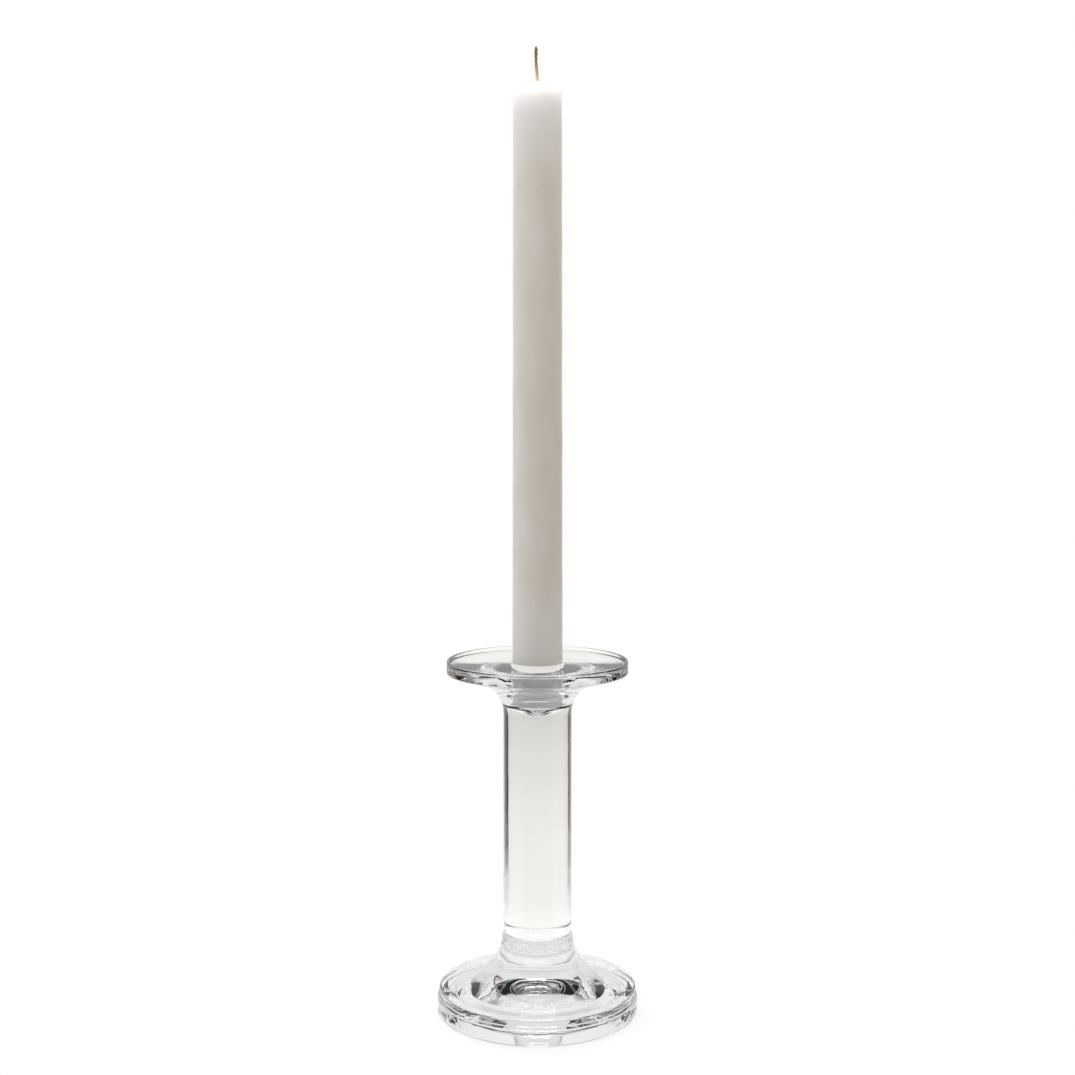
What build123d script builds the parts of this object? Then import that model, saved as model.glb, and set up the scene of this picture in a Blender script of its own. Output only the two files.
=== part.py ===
"""A pressed-glass candlestick with a dinner candle standing in its socket.

Row frame, millimetres: the origin is the centre of the foot's resting ring, on the table, and +Z is up
the candlestick's axis. There are three real pieces: the glass, which is pressed in one, the candle's
wax, and the wick that runs through the wax.
"""

import os
from math import radians, tan

from build123d import *

# ---- Foot ----
foot_r = 44.5            # lower band, the widest part of the candlestick
foot_ledge_r = 44.05     # thin bead between the two bands
foot_top_r = 43.7        # upper band
foot_band_z = 6.8        # top of the lower band
foot_bead_z = 8.3        # top of the bead
foot_h = 11.4            # top of the raised lip round the dish
foot_lip_in_r = 40.0     # inner edge of the lip
dish_r = 37.0            # foot of the lip's inner slope
dish_z = 10.3            # dish floor at its outer edge
dish_low_z = 9.8         # where the dish floor would meet the stem's spread
hollow_r = 42.6          # inner edge of the narrow resting ring underneath
hollow_h = 13.7          # height of the hollow under the foot, at the axis
hollow_top_r = 11.9      # where the hollow's top and its conical side would meet
hollow_round = 44.0

# ---- Stem ----
stem_low_r = 15.17       # column just above its collar
stem_top_r = 14.95       # column under the drip pan: the mould has a slight draft
collar_r = 15.8          # soft collar where the column meets the bell
collar_z = 34.2
bell_z = 30.3            # where the collar's side and the bell's slope would meet
bell_slope = 26.5        # degrees from vertical
bell_round = 9.8
spread_z = 22.1          # crease where the bell turns into the spread above the dish
crease_round = 4.8
spread_corner_r = 31.9
spread_round = 2.8

# ---- Drip pan ----
pan_r = 39.8
pan_top_z = 157.7
pan_rim_low_z = 152.3    # lower edge of the rim
neck_z = 145.4           # where the column and the pan's conical underside would meet
neck_round = 15.2
pan_lip_w = 1.2          # flat top of the rim
pan_floor_r = 38.0
pan_floor_z = 156.0      # tray floor against the rim
mouth_z = 156.9          # tray floor at the socket: it rises so that wax runs outwards

# ---- Socket ----
socket_r = 11.5
socket_z = 138.9         # where the socket's wall and its sloping floor would meet
socket_round = 3.1
dimple_r = 6.2           # bell-shaped hollow in the socket floor, left by the press
dimple_top_z = 136.6
dimple_low_r = 3.1
dimple_z = 134.7

# ---- Candle ----
candle_base_r = 11.0     # a standard 22 mm dinner candle
candle_top_r = 10.4
candle_z = 138.7         # its rounded edge stands just clear of the socket's rounded corner
candle_top_z = 404.5
wick_r = 0.7
wick_recess = 0.5        # the wick stops this far inside the candle's foot
wick_bend_r = 56.0       # each bend of the exposed end
wick_lean = 6.5          # first bend, degrees
wick_unlean = 7.5        # second bend, the other way
wick_tip = 2.7           # straight end
wick_turn = 152.0        # direction that the exposed end leans in, degrees about +Z


def turned(corners):
    """A solid of revolution about Z. Each corner is (radius, height, rounding)."""
    points = [(r, z) for r, z, rounding in corners]
    with BuildPart() as body:
        with BuildSketch(Plane.XZ) as section:
            with BuildLine():
                Polyline(*points, close=True)
            make_face()
            for r, z, rounding in corners:
                if rounding > 0:
                    corner = section.vertices().sort_by_distance((r, z))[0]
                    fillet(corner, rounding)
        revolve(axis=Axis.Z)
    return body.part


def glass_corners():
    """Half section of the glass, from the axis underneath, up the outside and down into the socket."""
    spread_r = collar_r + (bell_z - spread_z) * tan(radians(bell_slope))
    underside = [
        (0, hollow_h, 0),
        (hollow_top_r, hollow_h, hollow_round),
        (hollow_r, 0, 0.6),
    ]
    foot = [
        (foot_r, 0, 0.9),
        (foot_r, foot_band_z, 0.55),
        (foot_ledge_r, foot_band_z + 0.2, 0.1),
        (foot_ledge_r, foot_bead_z, 0.3),
        (foot_top_r, foot_bead_z + 0.2, 0.1),
        (foot_top_r, foot_h, 1.0),
        (foot_lip_in_r, foot_h, 0.8),
        (dish_r, dish_z, 1.6),
    ]
    stem = [
        (spread_corner_r, dish_low_z, spread_round),
        (spread_r, spread_z, crease_round),
        (collar_r, bell_z, bell_round),
        (collar_r, collar_z, 0.6),
        (stem_low_r, collar_z + 1.0, 0.8),
        (stem_top_r, neck_z, neck_round),
    ]
    pan = [
        (pan_r, pan_rim_low_z, 0.5),
        (pan_r, pan_top_z, 0.7),
        (pan_r - pan_lip_w, pan_top_z, 0.5),
        (pan_floor_r, pan_floor_z, 0.9),
    ]
    socket = [
        (socket_r, mouth_z, 0.4),
        (socket_r, socket_z, socket_round),
        (dimple_r, dimple_top_z, 1.8),
        (dimple_low_r, dimple_z, 1.5),
        (0, dimple_z, 0),
    ]
    return underside + foot + stem + pan + socket


def candle_corners():
    """Half section of the wax, with the wick's channel along its axis."""
    return [
        (wick_r, candle_z, 0),
        (candle_base_r, candle_z, 1.2),
        (candle_top_r, candle_top_z, 0.9),
        (wick_r, candle_top_z, 0),
    ]


def make_wick():
    """The wick: straight inside the wax, then a loose double bend at the exposed end."""
    leaning = Plane.XZ.rotated((0, 0, wick_turn))
    with BuildPart() as wick:
        with BuildLine(leaning) as path:
            inside = Line((0, candle_z + wick_recess), (0, candle_top_z))
            first = JernArc(start=inside @ 1, tangent=inside % 1, radius=wick_bend_r, arc_size=-wick_lean)
            second = JernArc(start=first @ 1, tangent=first % 1, radius=wick_bend_r, arc_size=wick_unlean)
            Line(second @ 1, second @ 1 + (second % 1) * wick_tip)
        with BuildSketch(Plane.XY.offset(candle_z + wick_recess)):
            Circle(wick_r)
        sweep(path=path.line)
    return wick.part


pieces = {
    "glass_candlestick": turned(glass_corners()),
    "candle": turned(candle_corners()),
    "wick": make_wick(),
}

os.makedirs("parts", exist_ok=True)
for name, piece in pieces.items():
    piece.label = name
    export_step(piece, f"parts/{name}.step")
    print(name, round(piece.volume / 1000, 2), "cm3", piece.bounding_box().size)
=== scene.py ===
"""Looks of a pressed-glass candlestick with a dinner candle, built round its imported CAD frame.

The scene is in metres in the row frame: the origin is the centre of the foot on the table and +Z is up.
Sizes and meshes are worked out in millimetres, and are multiplied by MM when they enter the scene.
"""

import math
import random

import bpy
import numpy as np
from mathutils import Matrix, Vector


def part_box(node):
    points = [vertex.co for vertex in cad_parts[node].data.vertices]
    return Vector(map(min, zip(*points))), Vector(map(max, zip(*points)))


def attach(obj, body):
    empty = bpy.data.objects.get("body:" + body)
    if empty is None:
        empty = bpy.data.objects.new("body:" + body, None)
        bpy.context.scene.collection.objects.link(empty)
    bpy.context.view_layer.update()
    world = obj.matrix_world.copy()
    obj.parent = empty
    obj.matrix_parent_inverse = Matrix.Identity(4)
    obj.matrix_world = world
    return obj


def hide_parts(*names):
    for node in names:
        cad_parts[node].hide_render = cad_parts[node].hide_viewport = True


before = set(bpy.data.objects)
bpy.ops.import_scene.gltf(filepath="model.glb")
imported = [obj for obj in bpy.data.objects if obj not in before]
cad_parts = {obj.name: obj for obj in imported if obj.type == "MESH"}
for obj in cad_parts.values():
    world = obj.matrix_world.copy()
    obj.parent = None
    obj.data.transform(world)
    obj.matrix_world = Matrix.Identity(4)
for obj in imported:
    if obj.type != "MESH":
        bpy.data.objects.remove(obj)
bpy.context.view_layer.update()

MM = 0.001
TURN = 2 * math.pi
DEGREES = 180 / math.pi
SEED = 7

glass_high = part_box("glass_candlestick")[1]
candle_low, candle_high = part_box("candle")
wick_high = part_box("wick")[1]

# ---- Sizes in millimetres and angles in radians: the CAD model's, unless a comment says otherwise ----
FOOT_R = glass_high.x / MM
FOOT_LEDGE_R = FOOT_R - 0.45
FOOT_TOP_R = FOOT_R - 0.8
FOOT_BAND_Z = 6.8
FOOT_BEAD_Z = 8.3
FOOT_H = 11.4
FOOT_LIP_IN_R = 40.0
DISH_R = 37.0
DISH_Z = 10.3
DISH_LOW_Z = 9.8
HOLLOW_R = 42.6
HOLLOW_TOP_R = 11.9
HOLLOW_H = 13.7
HOLLOW_ROUND = 44.0
STEM_LOW_R = 15.17
STEM_TOP_R = 14.95
COLLAR_R = 15.8
COLLAR_Z = 34.2
# The collar's two edges are softer than the CAD model's 0.6 and 0.8, which moves them by under 0.1 mm.
COLLAR_ROUND = 1.6
COLLAR_TOP_ROUND = 2.0
BELL_Z = 30.3
BELL_SLOPE = math.radians(26.5)
BELL_ROUND = 9.8
SPREAD_Z = 22.1
CREASE_ROUND = 4.8
SPREAD_CORNER_R = 31.9
SPREAD_ROUND = 2.8
PAN_R = 39.8
PAN_TOP_Z = glass_high.z / MM
PAN_RIM_LOW_Z = 152.3
NECK_Z = 145.4
NECK_ROUND = 15.2
PAN_LIP_W = 1.2
PAN_FLOOR_R = 38.0
PAN_FLOOR_Z = 156.0
MOUTH_Z = 156.9
SOCKET_R = 11.5
SOCKET_Z = 138.9
SOCKET_ROUND = 3.1
DIMPLE_R = 6.2
DIMPLE_TOP_Z = 136.6
DIMPLE_LOW_R = 3.1
DIMPLE_Z = 134.7
CANDLE_BASE_R = 11.0
CANDLE_TOP_R = 10.4
CANDLE_Z = candle_low.z / MM
CANDLE_TOP_Z = candle_high.z / MM
WICK_R = 0.7
WICK_RECESS = 0.5
WICK_BEND_R = 56.0
WICK_LEAN = math.radians(6.5)
WICK_UNLEAN = math.radians(7.5)
WICK_TURN = math.radians(152.0)
WICK_TOP_Z = wick_high.z / MM

# ---- Details that the CAD model doesn't have, in millimetres ----
# The wax sinks slightly at the cut top and climbs a little way up the wick.
WAX_SINK = 0.05
WAX_CLIMB = 0.5
WAX_CLIMB_W = 1.6
RIPPLE_DEPTH = 0.12
RIPPLE_FADE = 12
WICK_PLIES = 3
WICK_LAY = 5.5           # height in which each ply turns once
PLY_OFFSET = 0.46        # shares of the wick's radius
PLY_R = 0.54
WICK_FRAY = 0.35         # fibres end at most this far above the wick's top
FIBRES = 26

# ---- Fineness of the meshes ----
ARC_STEP = 4.0           # degrees
FLAT_STEP = 3.0          # millimetres, and so are the next two
EDGE_GUARD = 0.1
WICK_STEP = 0.2
GLASS_SIDES = 192
CANDLE_SIDES = 128
PLY_SIDES = 10
FIBRE_SIDES = 5
FLOOR_SIDES = 96

# ---- Camera ----
SENSOR_WIDTH = 36.0      # millimetres, and so is the lens
CAMERA_LENS = 55.44
CAMERA_PLACE = (0, -0.718, 0.282)  # metres
CAMERA_TILT = 5.6        # degrees below the horizon

# ---- Stage ----
FLOOR_SOLID_R = 75.0     # millimetres
FLOOR_R = 160.0
FLOOR_GLOW = 0.68
FLOOR_LIT = 0.35
# Brightness of the studio by degrees above the horizon.
SKY = [
    (-90, 0.93), (-45, 0.93), (-21, 1.04), (-16, 0.97), (-13.5, 0.86), (-11.5, 0.73), (-5, 0.75),
    (5, 0.81), (30, 0.85), (50, 0.90), (75, 0.98),
]
# The studio is warmer below this many degrees, and fully so this many further down.
WARM_BELOW = 15
WARM_FADE = 25
# Darker cards: degrees round from behind the candlestick, degrees above the horizon, softness, colour.
CARDS = [
    ((-125, -64), (-12, 55), 8, (0.50, 0.49, 0.48)),
    ((64, 125), (-12, 55), 8, (0.52, 0.50, 0.49)),
    ((-180, -132), (-36, 70), 12, (0.14, 0.15, 0.17)),
    ((132, 180), (-36, 70), 12, (0.14, 0.14, 0.15)),
    ((-180, -76), (-5, 12), 4, (0.05, 0.05, 0.065)),
    ((74, 180), (-5, 12), 4, (0.04, 0.04, 0.05)),
    ((-72, -56), (-15, 32), 4, (0.13, 0.08, 0.04)),
    ((52, 70), (-15, 32), 4, (0.035, 0.022, 0.01)),
    ((-148, -142), (-40, 40), 3, (0.10, 0.10, 0.12)),
    ((138, 144), (-40, 40), 3, (0.10, 0.10, 0.12)),
    ((172, 180), (-10, 40), 3, (0.20, 0.05, 0.04)),
]
# Matt surfaces are lit by a plain gradient instead, which is brightest from the left and from behind.
SOFT_DARK = (0.376, 0.350, 0.351)
SOFT_LIGHT = (0.781, 0.785, 0.862)
SOFT_FROM_LEFT = 0.5
SOFT_FROM_BEHIND = 0.35
SOFT_RANGE = (-0.45, 0.55)
OVERHEAD_WATTS = 4.2
OVERHEAD_SIZE = 0.3      # metres, and so are its place and target
OVERHEAD_PLACE = (0, 0.03, 0.8)
OVERHEAD_TARGET = (0, 0, 0.1)
# Light crosses thick glass many times before it comes out. What is reflected inside it more often than
# INNER_REFLECTIONS is lost and looks dark, which is a choice of look and not a property of the glass.
LIGHT_BOUNCES = 24
INNER_REFLECTIONS = 5

# ---- Glass: the waves have a scale in features for each metre and a depth in metres ----
GLASS_COLOUR = (0.99, 0.99, 0.99)
GLASS_IOR = 1.5
GLASS_SHADE = (0.26, 0.28, 0.28)
GLASS_DENSITY = 2.5
GLASS_WAVE_SCALE = 70
GLASS_WAVES = 0.5
GLASS_WAVE_DEPTH = 0.0006

# ---- Wax: heights and widths in millimetres ----
WAX_DARK = (0.78, 0.745, 0.645)
WAX_LIGHT = (0.85, 0.815, 0.73)
WAX_SCUFF = (0.62, 0.57, 0.50)
# Painted light: paler wax near the cut top, in place of the glow that light from above gives through the
# wax.
WAX_PAINTED_TOP_GLOW = (0.95, 0.935, 0.885)
# Painted light: paler wax just above the drip pan, in place of light that the glass gathers there.
WAX_PAINTED_PAN_GLOW = (0.95, 0.925, 0.87)
# Painted light: paler wax inside the socket, in place of light that the glass gathers there. It moves with
# the candle.
WAX_PAINTED_SOCKET_GLOW = (0.98, 0.97, 0.94)
WAX_RIM = (0.30, 0.22, 0.13)
# The painted top glow fades in over this height down from the cut top, along this curve.
WAX_TOP_GLOW_FADE = 46.0      # down from the cut top
WAX_TOP_GLOW_CURVE = 1.6
# Painted glow above the drip pan: the height it fades over and how strongly it shows.
WAX_PAN_GLOW_FADE = 34.0      # up from the drip pan
WAX_PAN_GLOW_SHARE = 0.6
# Painted glow in the socket: the depths below the drip pan where it fades in.
WAX_SOCKET_GLOW_FADE = (2, 6)   # down from the drip pan
WAX_RIM_DEPTH = (0.6, 0.1)
WAX_RIM_WIDTH = (1.6, 0.8)
WAX_IOR = 1.43
WAX_SCATTER = 0.028      # metres
WAX_SCATTER_COLOUR = (1.0, 0.97, 0.92)
WAX_SCATTER_SHARE = (0.8, 0.05)
WAX_ROUGHNESS = (0.38, 0.55)
WAX_GRAIN = 0.12
WAX_GRAIN_DEPTH = 0.0004  # metres

# ---- Wick ----
# Straw-coloured where wax has soaked it, browner higher up, grey at the cut end.
WICK_COLOURS = [
    (0.0, (0.70, 0.52, 0.28)),
    (0.3, (0.56, 0.37, 0.15)),
    (0.6, (0.38, 0.22, 0.08)),
    (0.9, (0.28, 0.165, 0.07)),
    (0.97, (0.16, 0.16, 0.19)),
]
WICK_ROUGHNESS = (0.5, 0.8)
WICK_THREADS = 0.6
WICK_THREAD_DEPTH = 0.00008  # metres

# Colour sockets of Blender's Mix node, which share their names with its other sockets.
MIX_FIRST = 6
MIX_SECOND = 7
MIX_RESULT = 2


# ---- Object and mesh helpers ----
def add_object(name, data):
    made = bpy.data.objects.new(name, data)
    bpy.context.scene.collection.objects.link(made)
    return made


def add_smooth_mesh(name, verts, faces):
    """A smooth-shaded object. verts are in millimetres."""
    mesh = bpy.data.meshes.new(name)
    mesh.from_pydata([tuple(v * MM) for v in verts], [], faces)
    mesh.validate()
    mesh.shade_smooth()
    return add_object(name, mesh)


def rounded_section(corners):
    """Points along a half section whose corners are (radius, height, rounding), all in millimetres.

    Roundings become arcs. Flats get a guard point near each end, so that smooth shading keeps them flat."""
    places = [np.array(c[:2], float) for c in corners]
    stretches = []
    for i, (_, _, rounding) in enumerate(corners):
        here = places[i]
        if rounding <= 0 or i in (0, len(corners) - 1):
            stretches.append([here])
            continue
        back = places[i - 1] - here
        ahead = places[i + 1] - here
        back /= np.linalg.norm(back)
        ahead /= np.linalg.norm(ahead)
        angle = math.acos(float(np.clip(back @ ahead, -1, 1)))
        tangent = rounding / math.tan(angle / 2)
        middle = (back + ahead) / np.linalg.norm(back + ahead)
        centre = here + middle * rounding / math.sin(angle / 2)
        first = here + back * tangent - centre
        last = here + ahead * tangent - centre
        start = math.atan2(first[1], first[0])
        sweep = (math.atan2(last[1], last[0]) - start + math.pi) % TURN - math.pi
        count = max(3, math.ceil(abs(math.degrees(sweep)) / ARC_STEP))
        angles = start + sweep * np.arange(count + 1) / count
        stretches.append([centre + rounding * np.array([math.cos(a), math.sin(a)]) for a in angles])
    points = list(stretches[0])
    for stretch in stretches[1:]:
        begin, end = points[-1], stretch[0]
        gap = float(np.linalg.norm(end - begin))
        if gap > 4 * EDGE_GUARD:
            along = (end - begin) / gap
            flat = gap - 2 * EDGE_GUARD
            count = max(1, math.ceil(flat / FLAT_STEP))
            points += [begin + along * (EDGE_GUARD + flat * k / count) for k in range(count + 1)]
        points += stretch
    return np.array(points)


def lathe(name, section, sides, move=None):
    """A closed surface of revolution. Ends of the section that lie on the axis become single points.

    move(coordinates, angle, height) returns the moved coordinates, in millimetres."""
    angles = TURN * np.arange(sides) / sides
    radius, angle = np.meshgrid(section[:, 0], angles, indexing="ij")
    height = np.repeat(section[:, 1][:, None], sides, axis=1)
    coordinates = np.stack([radius * np.cos(angle), radius * np.sin(angle), height], axis=-1)
    if move is not None:
        coordinates = move(coordinates, angle, height)
    rows = len(section)
    first_pole = section[0, 0] < 1e-6
    last_pole = section[-1, 0] < 1e-6
    verts, index = [], np.zeros((rows, sides), int)
    for i in range(rows):
        if (i == 0 and first_pole) or (i == rows - 1 and last_pole):
            index[i, :] = len(verts)
            verts.append(coordinates[i].mean(0))
        else:
            index[i, :] = len(verts) + np.arange(sides)
            verts.extend(coordinates[i])
    faces = []
    for i in range(rows - 1):
        for k in range(sides):
            n = (k + 1) % sides
            ring = [index[i, k], index[i, n], index[i + 1, n], index[i + 1, k]]
            face = [v for j, v in enumerate(ring) if v != ring[j - 1]]
            if len(face) > 2:
                faces.append([int(v) for v in face])
    return add_smooth_mesh(name, verts, faces)


def tube(centres, radii, sides, verts, faces):
    """Adds a closed tube round a line of centres to verts and faces, in millimetres."""
    first = len(verts)
    along = np.gradient(centres, axis=0)
    for centre, radius, ahead in zip(centres, radii, along):
        ahead = ahead / np.linalg.norm(ahead)
        across = np.cross(ahead, (0.3, 1.0, 0.1))
        across /= np.linalg.norm(across)
        other = np.cross(ahead, across)
        for k in range(sides):
            turn = TURN * k / sides
            verts.append(centre + radius * (across * math.cos(turn) + other * math.sin(turn)))
    rings = len(centres)
    for i in range(rings - 1):
        for k in range(sides):
            n = (k + 1) % sides
            low, high = first + i * sides, first + (i + 1) * sides
            faces.append((low + k, low + n, high + n, high + k))
    faces.append(tuple(first + k for k in reversed(range(sides))))
    faces.append(tuple(first + (rings - 1) * sides + k for k in range(sides)))


# ---- Node helpers ----
def new_material(name):
    material = bpy.data.materials.new(name)
    material.use_nodes = True
    nodes = material.node_tree.nodes
    return material, nodes, material.node_tree.links, nodes["Principled BSDF"]


def object_noise(nodes, links, scale, detail=4.0, roughness=0.5, stretch=(1, 1, 1)):
    """A noise texture in object space. Its scale is in features for each metre."""
    place = nodes.new("ShaderNodeTexCoord")
    mapping = nodes.new("ShaderNodeMapping")
    mapping.inputs["Scale"].default_value = stretch
    noise = nodes.new("ShaderNodeTexNoise")
    noise.inputs["Scale"].default_value = scale
    noise.inputs["Detail"].default_value = detail
    noise.inputs["Roughness"].default_value = roughness
    links.new(place.outputs["Object"], mapping.inputs["Vector"])
    links.new(mapping.outputs["Vector"], noise.inputs["Vector"])
    return noise.outputs["Fac"]


def spread(nodes, links, value, low, high, out_low, out_high):
    """value mapped from low..high to out_low..out_high, clamped."""
    node = nodes.new("ShaderNodeMapRange")
    for socket, number in zip(("From Min", "From Max", "To Min", "To Max"), (low, high, out_low, out_high)):
        node.inputs[socket].default_value = number
    links.new(value, node.inputs["Value"])
    return node.outputs["Result"]


def bump(nodes, links, height, strength, distance):
    node = nodes.new("ShaderNodeBump")
    node.inputs["Strength"].default_value = strength
    node.inputs["Distance"].default_value = distance
    links.new(height, node.inputs["Height"])
    return node.outputs["Normal"]


def number_node(nodes, links, operation, *inputs):
    """One math node. Each input is a socket or a plain number."""
    node = nodes.new("ShaderNodeMath")
    node.operation = operation
    for socket, value in zip(node.inputs, inputs):
        if isinstance(value, (int, float)):
            socket.default_value = value
        else:
            links.new(value, socket)
    return node.outputs[0]


def blend(nodes, links, factor, first, second):
    """first where factor is 0 and second where it is 1. Each colour is a socket or (r, g, b)."""
    mix = nodes.new("ShaderNodeMix")
    mix.data_type = "RGBA"
    links.new(factor, mix.inputs["Factor"])
    for number, colour in ((MIX_FIRST, first), (MIX_SECOND, second)):
        if isinstance(colour, tuple):
            mix.inputs[number].default_value = (*colour, 1)
        else:
            links.new(colour, mix.inputs[number])
    return mix.outputs[MIX_RESULT]


def colour_ramp(nodes, stops):
    """A colour ramp through stops of (position, colour)."""
    ramp = nodes.new("ShaderNodeValToRGB")
    elements = ramp.color_ramp.elements
    while len(elements) < len(stops):
        elements.new(0.5)
    for element, (position, colour) in zip(elements, stops):
        element.position = position
        element.color = (*colour, 1)
    return ramp


def height_fade(nodes, links, start, end):
    """0 at one height above the table and 1 at another, in millimetres, and steady beyond them."""
    place = nodes.new("ShaderNodeTexCoord")
    split = nodes.new("ShaderNodeSeparateXYZ")
    links.new(place.outputs["Object"], split.inputs[0])
    return spread(nodes, links, split.outputs["Z"], start * MM, end * MM, 0, 1)


def axis_fade(nodes, links, start, end):
    """0 at one distance from the candlestick's axis and 1 at another, in millimetres, and steady beyond."""
    place = nodes.new("ShaderNodeTexCoord")
    flat = nodes.new("ShaderNodeVectorMath")
    flat.operation = "MULTIPLY"
    flat.inputs[1].default_value = (1, 1, 0)
    distance = nodes.new("ShaderNodeVectorMath")
    distance.operation = "LENGTH"
    links.new(place.outputs["Object"], flat.inputs[0])
    links.new(flat.outputs["Vector"], distance.inputs[0])
    return spread(nodes, links, distance.outputs["Value"], start * MM, end * MM, 0, 1)


def window(nodes, links, value, low, high, soft):
    """1 between low and high, falling smoothly to 0 over soft on each side."""
    edges = []
    for start, end in ((low - soft, low), (high + soft, high)):
        node = nodes.new("ShaderNodeMapRange")
        node.interpolation_type = "SMOOTHSTEP"
        node.inputs["From Min"].default_value = start
        node.inputs["From Max"].default_value = end
        links.new(value, node.inputs["Value"])
        edges.append(node.outputs["Result"])
    return number_node(nodes, links, "MULTIPLY", *edges)


# ---- Materials ----
def glass_material():
    """Fire-polished clear glass with the faint waves that pressing leaves."""
    material, nodes, links, shader = new_material("clear_pressed_glass")
    shader.inputs["Base Color"].default_value = (*GLASS_COLOUR, 1)
    shader.inputs["Transmission Weight"].default_value = 1.0
    shader.inputs["IOR"].default_value = GLASS_IOR
    shader.inputs["Roughness"].default_value = 0.0
    waves = object_noise(nodes, links, GLASS_WAVE_SCALE, detail=2, stretch=(1, 1, 0.5))
    links.new(bump(nodes, links, waves, GLASS_WAVES, GLASS_WAVE_DEPTH), shader.inputs["Normal"])
    absorption = nodes.new("ShaderNodeVolumeAbsorption")
    absorption.inputs["Color"].default_value = (*GLASS_SHADE, 1)
    absorption.inputs["Density"].default_value = GLASS_DENSITY
    links.new(absorption.outputs["Volume"], nodes["Material Output"].inputs["Volume"])
    return material


def wax_colour_and_painted_glow(nodes, links):
    """Faintly mottled and scuffed wax, with painted light: paler near the cut top, near the drip pan and in
    the socket, in place of glow.
    """
    mottle = object_noise(nodes, links, 90, detail=5, stretch=(1, 1, 0.35))
    mottle = spread(nodes, links, mottle, 0.35, 0.7, 0, 1)
    colour = blend(nodes, links, mottle, WAX_DARK, WAX_LIGHT)
    scuffs = object_noise(nodes, links, 34, detail=7, roughness=0.7)
    scuffs = spread(nodes, links, scuffs, 0.63, 0.72, 0, 0.5)
    colour = blend(nodes, links, scuffs, colour, WAX_SCUFF)
    # Painted light: the wax is made paler towards the cut top.
    top = height_fade(nodes, links, CANDLE_TOP_Z - WAX_TOP_GLOW_FADE, CANDLE_TOP_Z)
    colour = blend(nodes, links, number_node(nodes, links, "POWER", top, WAX_TOP_GLOW_CURVE), colour, WAX_PAINTED_TOP_GLOW)
    # Painted light: the wax is made paler just above the drip pan.
    low = height_fade(nodes, links, PAN_TOP_Z + WAX_PAN_GLOW_FADE, PAN_TOP_Z)
    colour = blend(nodes, links, number_node(nodes, links, "MULTIPLY", low, WAX_PAN_GLOW_SHARE), colour, WAX_PAINTED_PAN_GLOW)
    # Painted light: the wax is made paler inside the socket.
    foot = height_fade(nodes, links, PAN_TOP_Z - WAX_SOCKET_GLOW_FADE[0], PAN_TOP_Z - WAX_SOCKET_GLOW_FADE[1])
    return blend(nodes, links, foot, colour, WAX_PAINTED_SOCKET_GLOW)


def wax_material():
    """Off-white candle wax: satin and translucent, with a thin yellowed edge round its cut top."""
    material, nodes, links, shader = new_material("candle_wax")
    colour = wax_colour_and_painted_glow(nodes, links)
    rim_high = height_fade(nodes, links, CANDLE_TOP_Z - WAX_RIM_DEPTH[0], CANDLE_TOP_Z - WAX_RIM_DEPTH[1])
    rim_out = axis_fade(nodes, links, CANDLE_TOP_R - WAX_RIM_WIDTH[0], CANDLE_TOP_R - WAX_RIM_WIDTH[1])
    rim = number_node(nodes, links, "MULTIPLY", rim_high, rim_out)
    links.new(blend(nodes, links, rim, colour, WAX_RIM), shader.inputs["Base Color"])
    links.new(spread(nodes, links, rim, 0, 1, *WAX_SCATTER_SHARE), shader.inputs["Subsurface Weight"])
    shader.inputs["Subsurface Radius"].default_value = WAX_SCATTER_COLOUR
    shader.inputs["Subsurface Scale"].default_value = WAX_SCATTER
    shader.inputs["IOR"].default_value = WAX_IOR
    satin = object_noise(nodes, links, 260, detail=4)
    links.new(spread(nodes, links, satin, 0.3, 0.7, *WAX_ROUGHNESS), shader.inputs["Roughness"])
    grain = object_noise(nodes, links, 900, detail=3, stretch=(1, 1, 0.3))
    links.new(bump(nodes, links, grain, WAX_GRAIN, WAX_GRAIN_DEPTH), shader.inputs["Normal"])
    return material


def wick_material():
    """Cotton braid with fine threads."""
    material, nodes, links, shader = new_material("wick_cotton")
    ramp = colour_ramp(nodes, WICK_COLOURS)
    links.new(height_fade(nodes, links, CANDLE_TOP_Z, WICK_TOP_Z), ramp.inputs["Fac"])
    links.new(ramp.outputs["Color"], shader.inputs["Base Color"])
    threads = object_noise(nodes, links, 9000, detail=3, stretch=(1, 1, 0.18))
    links.new(bump(nodes, links, threads, WICK_THREADS, WICK_THREAD_DEPTH), shader.inputs["Normal"])
    links.new(spread(nodes, links, threads, 0.3, 0.7, *WICK_ROUGHNESS), shader.inputs["Roughness"])
    return material


def floor_material():
    """Matt white, fading out with distance so that nothing but the plain backdrop lies beyond."""
    material, nodes, links, shader = new_material("pale_floor")
    shader.inputs["Base Color"].default_value = (FLOOR_LIT, FLOOR_LIT, FLOOR_LIT * 0.99, 1)
    shader.inputs["Roughness"].default_value = 0.8
    shader.inputs["Specular IOR Level"].default_value = 0.0
    shader.inputs["Emission Color"].default_value = (1, 1, 0.99, 1)
    shader.inputs["Emission Strength"].default_value = FLOOR_GLOW
    links.new(axis_fade(nodes, links, FLOOR_R, FLOOR_SOLID_R), shader.inputs["Alpha"])
    return material


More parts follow.
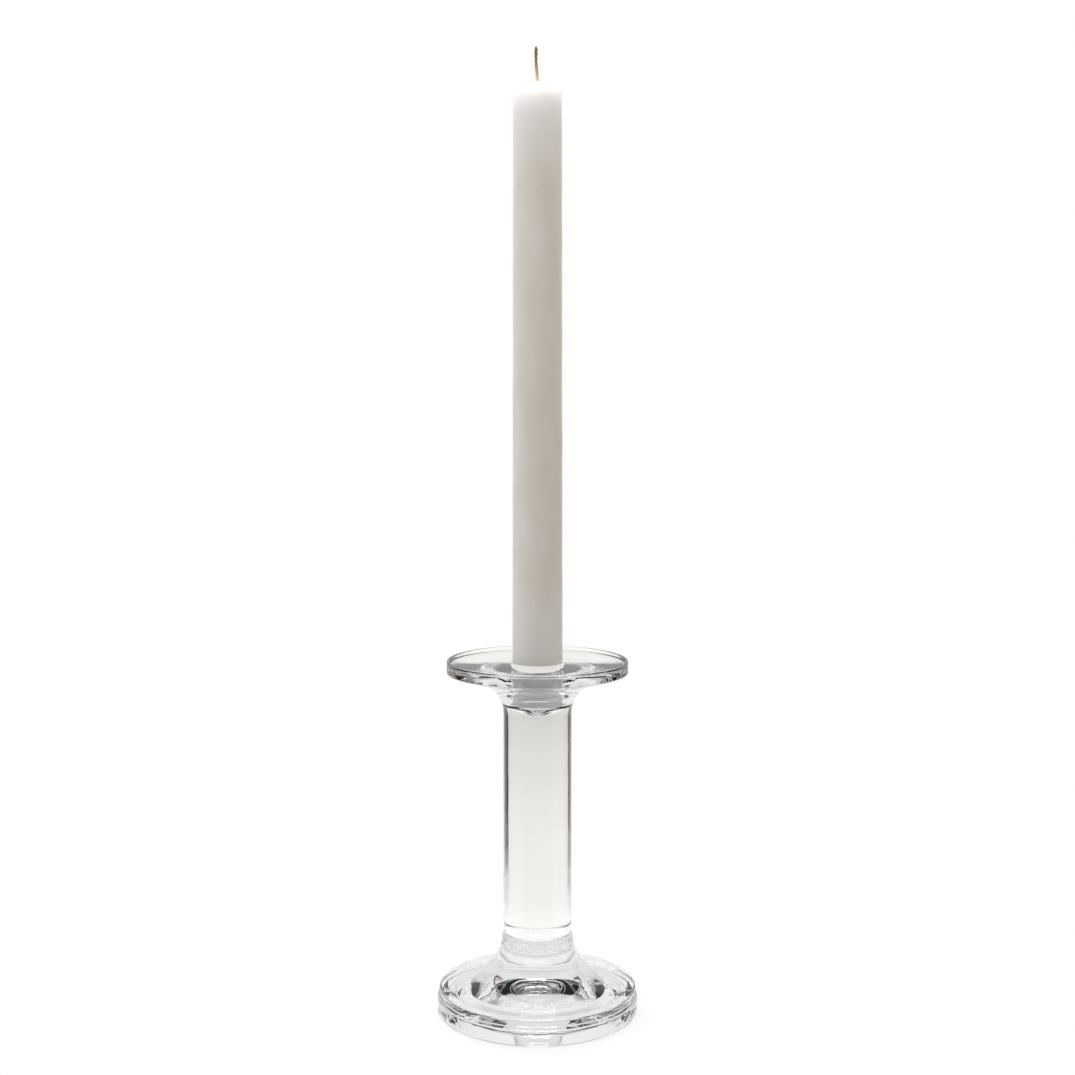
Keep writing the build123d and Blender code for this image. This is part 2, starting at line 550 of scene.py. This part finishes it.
# ---- Glass ----
def glass_corners():
    """Half section of the glass, from the axis underneath, up the outside and down into the socket."""
    spread_r = COLLAR_R + (BELL_Z - SPREAD_Z) * math.tan(BELL_SLOPE)
    underside = [
        (0, HOLLOW_H, 0),
        (HOLLOW_TOP_R, HOLLOW_H, HOLLOW_ROUND),
        (HOLLOW_R, 0, 0.6),
    ]
    foot = [
        (FOOT_R, 0, 0.9),
        (FOOT_R, FOOT_BAND_Z, 0.55),
        (FOOT_LEDGE_R, FOOT_BAND_Z + 0.2, 0.1),
        (FOOT_LEDGE_R, FOOT_BEAD_Z, 0.3),
        (FOOT_TOP_R, FOOT_BEAD_Z + 0.2, 0.1),
        (FOOT_TOP_R, FOOT_H, 1.0),
        (FOOT_LIP_IN_R, FOOT_H, 0.8),
        (DISH_R, DISH_Z, 1.6),
    ]
    stem = [
        (SPREAD_CORNER_R, DISH_LOW_Z, SPREAD_ROUND),
        (spread_r, SPREAD_Z, CREASE_ROUND),
        (COLLAR_R, BELL_Z, BELL_ROUND),
        (COLLAR_R, COLLAR_Z, COLLAR_ROUND),
        (STEM_LOW_R, COLLAR_Z + 1.0, COLLAR_TOP_ROUND),
        (STEM_TOP_R, NECK_Z, NECK_ROUND),
    ]
    pan = [
        (PAN_R, PAN_RIM_LOW_Z, 0.5),
        (PAN_R, PAN_TOP_Z, 0.7),
        (PAN_R - PAN_LIP_W, PAN_TOP_Z, 0.5),
        (PAN_FLOOR_R, PAN_FLOOR_Z, 0.9),
    ]
    socket = [
        (SOCKET_R, MOUTH_Z, 0.4),
        (SOCKET_R, SOCKET_Z, SOCKET_ROUND),
        (DIMPLE_R, DIMPLE_TOP_Z, 1.8),
        (DIMPLE_LOW_R, DIMPLE_Z, 1.5),
        (0, DIMPLE_Z, 0),
    ]
    return underside + foot + stem + pan + socket


def make_glass():
    glass = lathe("glass_body", rounded_section(glass_corners()), GLASS_SIDES)
    glass.data.materials.append(glass_material())
    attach(glass, "candlestick")
    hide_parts("glass_candlestick")


# ---- Candle ----
def wave_set(count, turns_most, shortest, longest):
    """Random waves round and along a turned piece: turns, wave number per millimetre, phase, share."""
    waves = []
    for _ in range(count):
        pitch = random.uniform(shortest, longest) * random.choice((-1, 1))
        turns = random.randint(1, turns_most)
        phase = random.uniform(0, TURN)
        share = random.uniform(0.4, 1)
        waves.append((turns, TURN / pitch, phase, share))
    return waves


def ripple(waves, depth, low, high, fade):
    """A move for lathe: shifts the surface radially by at most depth between two heights."""
    total = sum(share for *_, share in waves)

    def move(coordinates, angle, height):
        shift = np.zeros_like(height)
        for turns, number, phase, share in waves:
            shift += share * np.sin(turns * angle + number * height + phase)
        inside = np.clip((height - low) / fade, 0, 1) * np.clip((high - height) / fade, 0, 1)
        shift = shift * depth / total * inside
        outward = np.stack([np.cos(angle), np.sin(angle), np.zeros_like(angle)], axis=-1)
        return coordinates + outward * shift[..., None]

    return move


def make_candle():
    cut_z = CANDLE_TOP_Z - WAX_SINK
    climb_z = CANDLE_TOP_Z + WAX_CLIMB
    corners = [
        (0, CANDLE_Z, 0),
        (CANDLE_BASE_R, CANDLE_Z, 1.2),
        (CANDLE_TOP_R, cut_z, 0.9),
        (WICK_R + WAX_CLIMB_W, cut_z, 1.5),
        (WICK_R * 0.7, climb_z, 0.2),
        (0, climb_z, 0),
    ]
    waves = wave_set(count=7, turns_most=4, shortest=18, longest=90)
    move = ripple(waves, RIPPLE_DEPTH, PAN_TOP_Z + 4, CANDLE_TOP_Z - 1, RIPPLE_FADE)
    candle = lathe("candle_wax_body", rounded_section(corners), CANDLE_SIDES, move)
    candle.data.materials.append(wax_material())
    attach(candle, "candle")
    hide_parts("candle")


# ---- Wick ----
def wick_path():
    """Centre line of the wick, straight through the wax and then bent twice, in millimetres."""
    lean_way = np.array([math.cos(WICK_TURN), math.sin(WICK_TURN), 0])
    up = np.array([0, 0, 1.0])
    fine_from = CANDLE_TOP_Z - 3
    points = [np.array([0, 0, z]) for z in np.linspace(CANDLE_Z + WICK_RECESS, fine_from, 60)]
    here = points[-1]
    travelled = fine_from
    first_end = CANDLE_TOP_Z + WICK_BEND_R * WICK_LEAN
    while here[2] < WICK_TOP_Z - 0.25:
        travelled += WICK_STEP
        lean = np.clip((travelled - CANDLE_TOP_Z) / WICK_BEND_R, 0, WICK_LEAN)
        lean -= np.clip((travelled - first_end) / WICK_BEND_R, 0, WICK_UNLEAN)
        here = here + WICK_STEP * (up * math.cos(lean) + lean_way * math.sin(lean))
        points.append(here)
    return np.array(points)


def hump(height, below_top, width):
    """1 at a distance below the wick's top, falling smoothly to 0 on both sides."""
    return np.exp(-((height - WICK_TOP_Z + below_top) / width) ** 2)


def scatter(size, rise):
    """A random step sideways, with a fixed rise."""
    return np.array([random.gauss(0, size), random.gauss(0, size), rise])


def add_plies(path, verts, faces):
    """Plies that are twisted together, swell and thin a little, and close up towards the cut end."""
    height = path[:, 2]
    swell = 1 + 0.10 * hump(height, 3.2, 1.6)
    swell -= 0.14 * hump(height, 6.0, 1.5)
    tip = np.clip((WICK_TOP_Z - height) / 1.1, 0.35, 1)
    for ply in range(WICK_PLIES):
        turn = TURN * ply / WICK_PLIES + (height - CANDLE_TOP_Z) * TURN / WICK_LAY
        offset = PLY_OFFSET * WICK_R * swell * tip
        around = np.stack([offset * np.cos(turn), offset * np.sin(turn), np.zeros_like(turn)], axis=-1)
        tube(path + around, PLY_R * WICK_R * swell * np.sqrt(tip), PLY_SIDES, verts, faces)


def add_fibres(path, verts, faces):
    """Loose fibres round the cut end."""
    t = np.linspace(0, 1, 5)[:, None]
    for _ in range(FIBRES):
        start = path[-1 - random.randint(0, 14)] + scatter(0.25, 0)
        way = scatter(0.5, 1.0)
        way *= random.uniform(0.3, 0.75) / np.linalg.norm(way)
        curl = scatter(0.12, 0)
        fibre = start + way * t + curl * t ** 2
        fibre[:, 2] = np.minimum(fibre[:, 2], WICK_TOP_Z + WICK_FRAY)
        tube(fibre, np.linspace(0.05, 0.02, 5), FIBRE_SIDES, verts, faces)


def make_wick():
    path = wick_path()
    verts, faces = [], []
    add_plies(path, verts, faces)
    add_fibres(path, verts, faces)
    wick = add_smooth_mesh("wick_braid", verts, faces)
    wick.data.materials.append(wick_material())
    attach(wick, "candle")
    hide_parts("wick")


# ---- Stage ----
def make_camera():
    data = bpy.data.cameras.new("camera")
    data.sensor_width = SENSOR_WIDTH
    data.lens = CAMERA_LENS
    camera = add_object("camera", data)
    camera.location = CAMERA_PLACE
    camera.rotation_euler = (math.radians(90 - CAMERA_TILT), 0, 0)
    bpy.context.scene.camera = camera


def make_floor():
    angles = [TURN * k / FLOOR_SIDES for k in range(FLOOR_SIDES)]
    ring = [(FLOOR_R * MM * math.cos(a), FLOOR_R * MM * math.sin(a), 0) for a in angles]
    mesh = bpy.data.meshes.new("floor")
    mesh.from_pydata(ring, [], [list(range(FLOOR_SIDES))])
    floor = add_object("floor", mesh)
    floor.data.materials.append(floor_material())


def sky_colour(degrees, value):
    warm = min(1, max(0, (WARM_BELOW - degrees) / WARM_FADE))
    return (value, value * (1 - 0.012 * warm), value * (1.02 - 0.07 * warm))


def studio_colour(nodes, links, direction):
    """A softly graded room with darker cards standing in it."""
    lift = number_node(nodes, links, "ARCSINE", direction["Z"])
    lift = number_node(nodes, links, "MULTIPLY", lift, DEGREES)
    heading = number_node(nodes, links, "ARCTAN2", direction["X"], direction["Y"])
    heading = number_node(nodes, links, "MULTIPLY", heading, DEGREES)
    ramp = colour_ramp(nodes, [((degrees + 90) / 180, sky_colour(degrees, value)) for degrees, value in SKY])
    links.new(spread(nodes, links, lift, -90, 90, 0, 1), ramp.inputs["Fac"])
    colour = ramp.outputs["Color"]
    for (left, right), (low, high), soft, tone in CARDS:
        across = window(nodes, links, heading, left, right, soft)
        along = window(nodes, links, lift, low, high, soft)
        card = number_node(nodes, links, "MULTIPLY", across, along)
        colour = blend(nodes, links, card, colour, tone)
    return colour


def soft_colour(nodes, links, direction):
    """The plain gradient that lights matt surfaces."""
    facing = number_node(nodes, links, "MULTIPLY", direction["X"], -SOFT_FROM_LEFT)
    facing = number_node(nodes, links, "MULTIPLY_ADD", direction["Y"], SOFT_FROM_BEHIND, facing)
    return blend(nodes, links, spread(nodes, links, facing, *SOFT_RANGE, 0, 1), SOFT_DARK, SOFT_LIGHT)


def make_world():
    """Plain white to the camera, the studio to glass and gloss, and the soft gradient to matt surfaces."""
    world = bpy.data.worlds.new("studio")
    bpy.context.scene.world = world
    world.use_nodes = True
    nodes, links = world.node_tree.nodes, world.node_tree.links
    nodes.clear()
    place = nodes.new("ShaderNodeTexCoord")
    split = nodes.new("ShaderNodeSeparateXYZ")
    links.new(place.outputs["Generated"], split.inputs[0])
    studio = studio_colour(nodes, links, split.outputs)
    soft = soft_colour(nodes, links, split.outputs)
    path = nodes.new("ShaderNodeLightPath")
    seen = nodes.new("ShaderNodeBackground")
    links.new(blend(nodes, links, path.outputs["Is Diffuse Ray"], studio, soft), seen.inputs["Color"])
    plain = nodes.new("ShaderNodeBackground")
    plain.inputs["Color"].default_value = (1, 1, 1, 1)
    choose = nodes.new("ShaderNodeMixShader")
    links.new(path.outputs["Is Camera Ray"], choose.inputs[0])
    links.new(seen.outputs[0], choose.inputs[1])
    links.new(plain.outputs[0], choose.inputs[2])
    out = nodes.new("ShaderNodeOutputWorld")
    links.new(choose.outputs[0], out.inputs["Surface"])


def make_light():
    data = bpy.data.lights.new("overhead", "AREA")
    data.shape = "RECTANGLE"
    data.size = OVERHEAD_SIZE
    data.size_y = OVERHEAD_SIZE
    data.energy = OVERHEAD_WATTS
    light = add_object("overhead", data)
    light.location = OVERHEAD_PLACE
    aim = Vector(OVERHEAD_TARGET) - Vector(OVERHEAD_PLACE)
    light.rotation_euler = aim.to_track_quat("-Z", "Y").to_euler()


random.seed(SEED)
make_camera()
make_world()
make_light()
make_floor()
make_glass()
make_candle()
make_wick()

bpy.context.scene.view_settings.view_transform = "Standard"
bpy.context.scene.cycles.max_bounces = LIGHT_BOUNCES
bpy.context.scene.cycles.transmission_bounces = LIGHT_BOUNCES
bpy.context.scene.cycles.glossy_bounces = INNER_REFLECTIONS
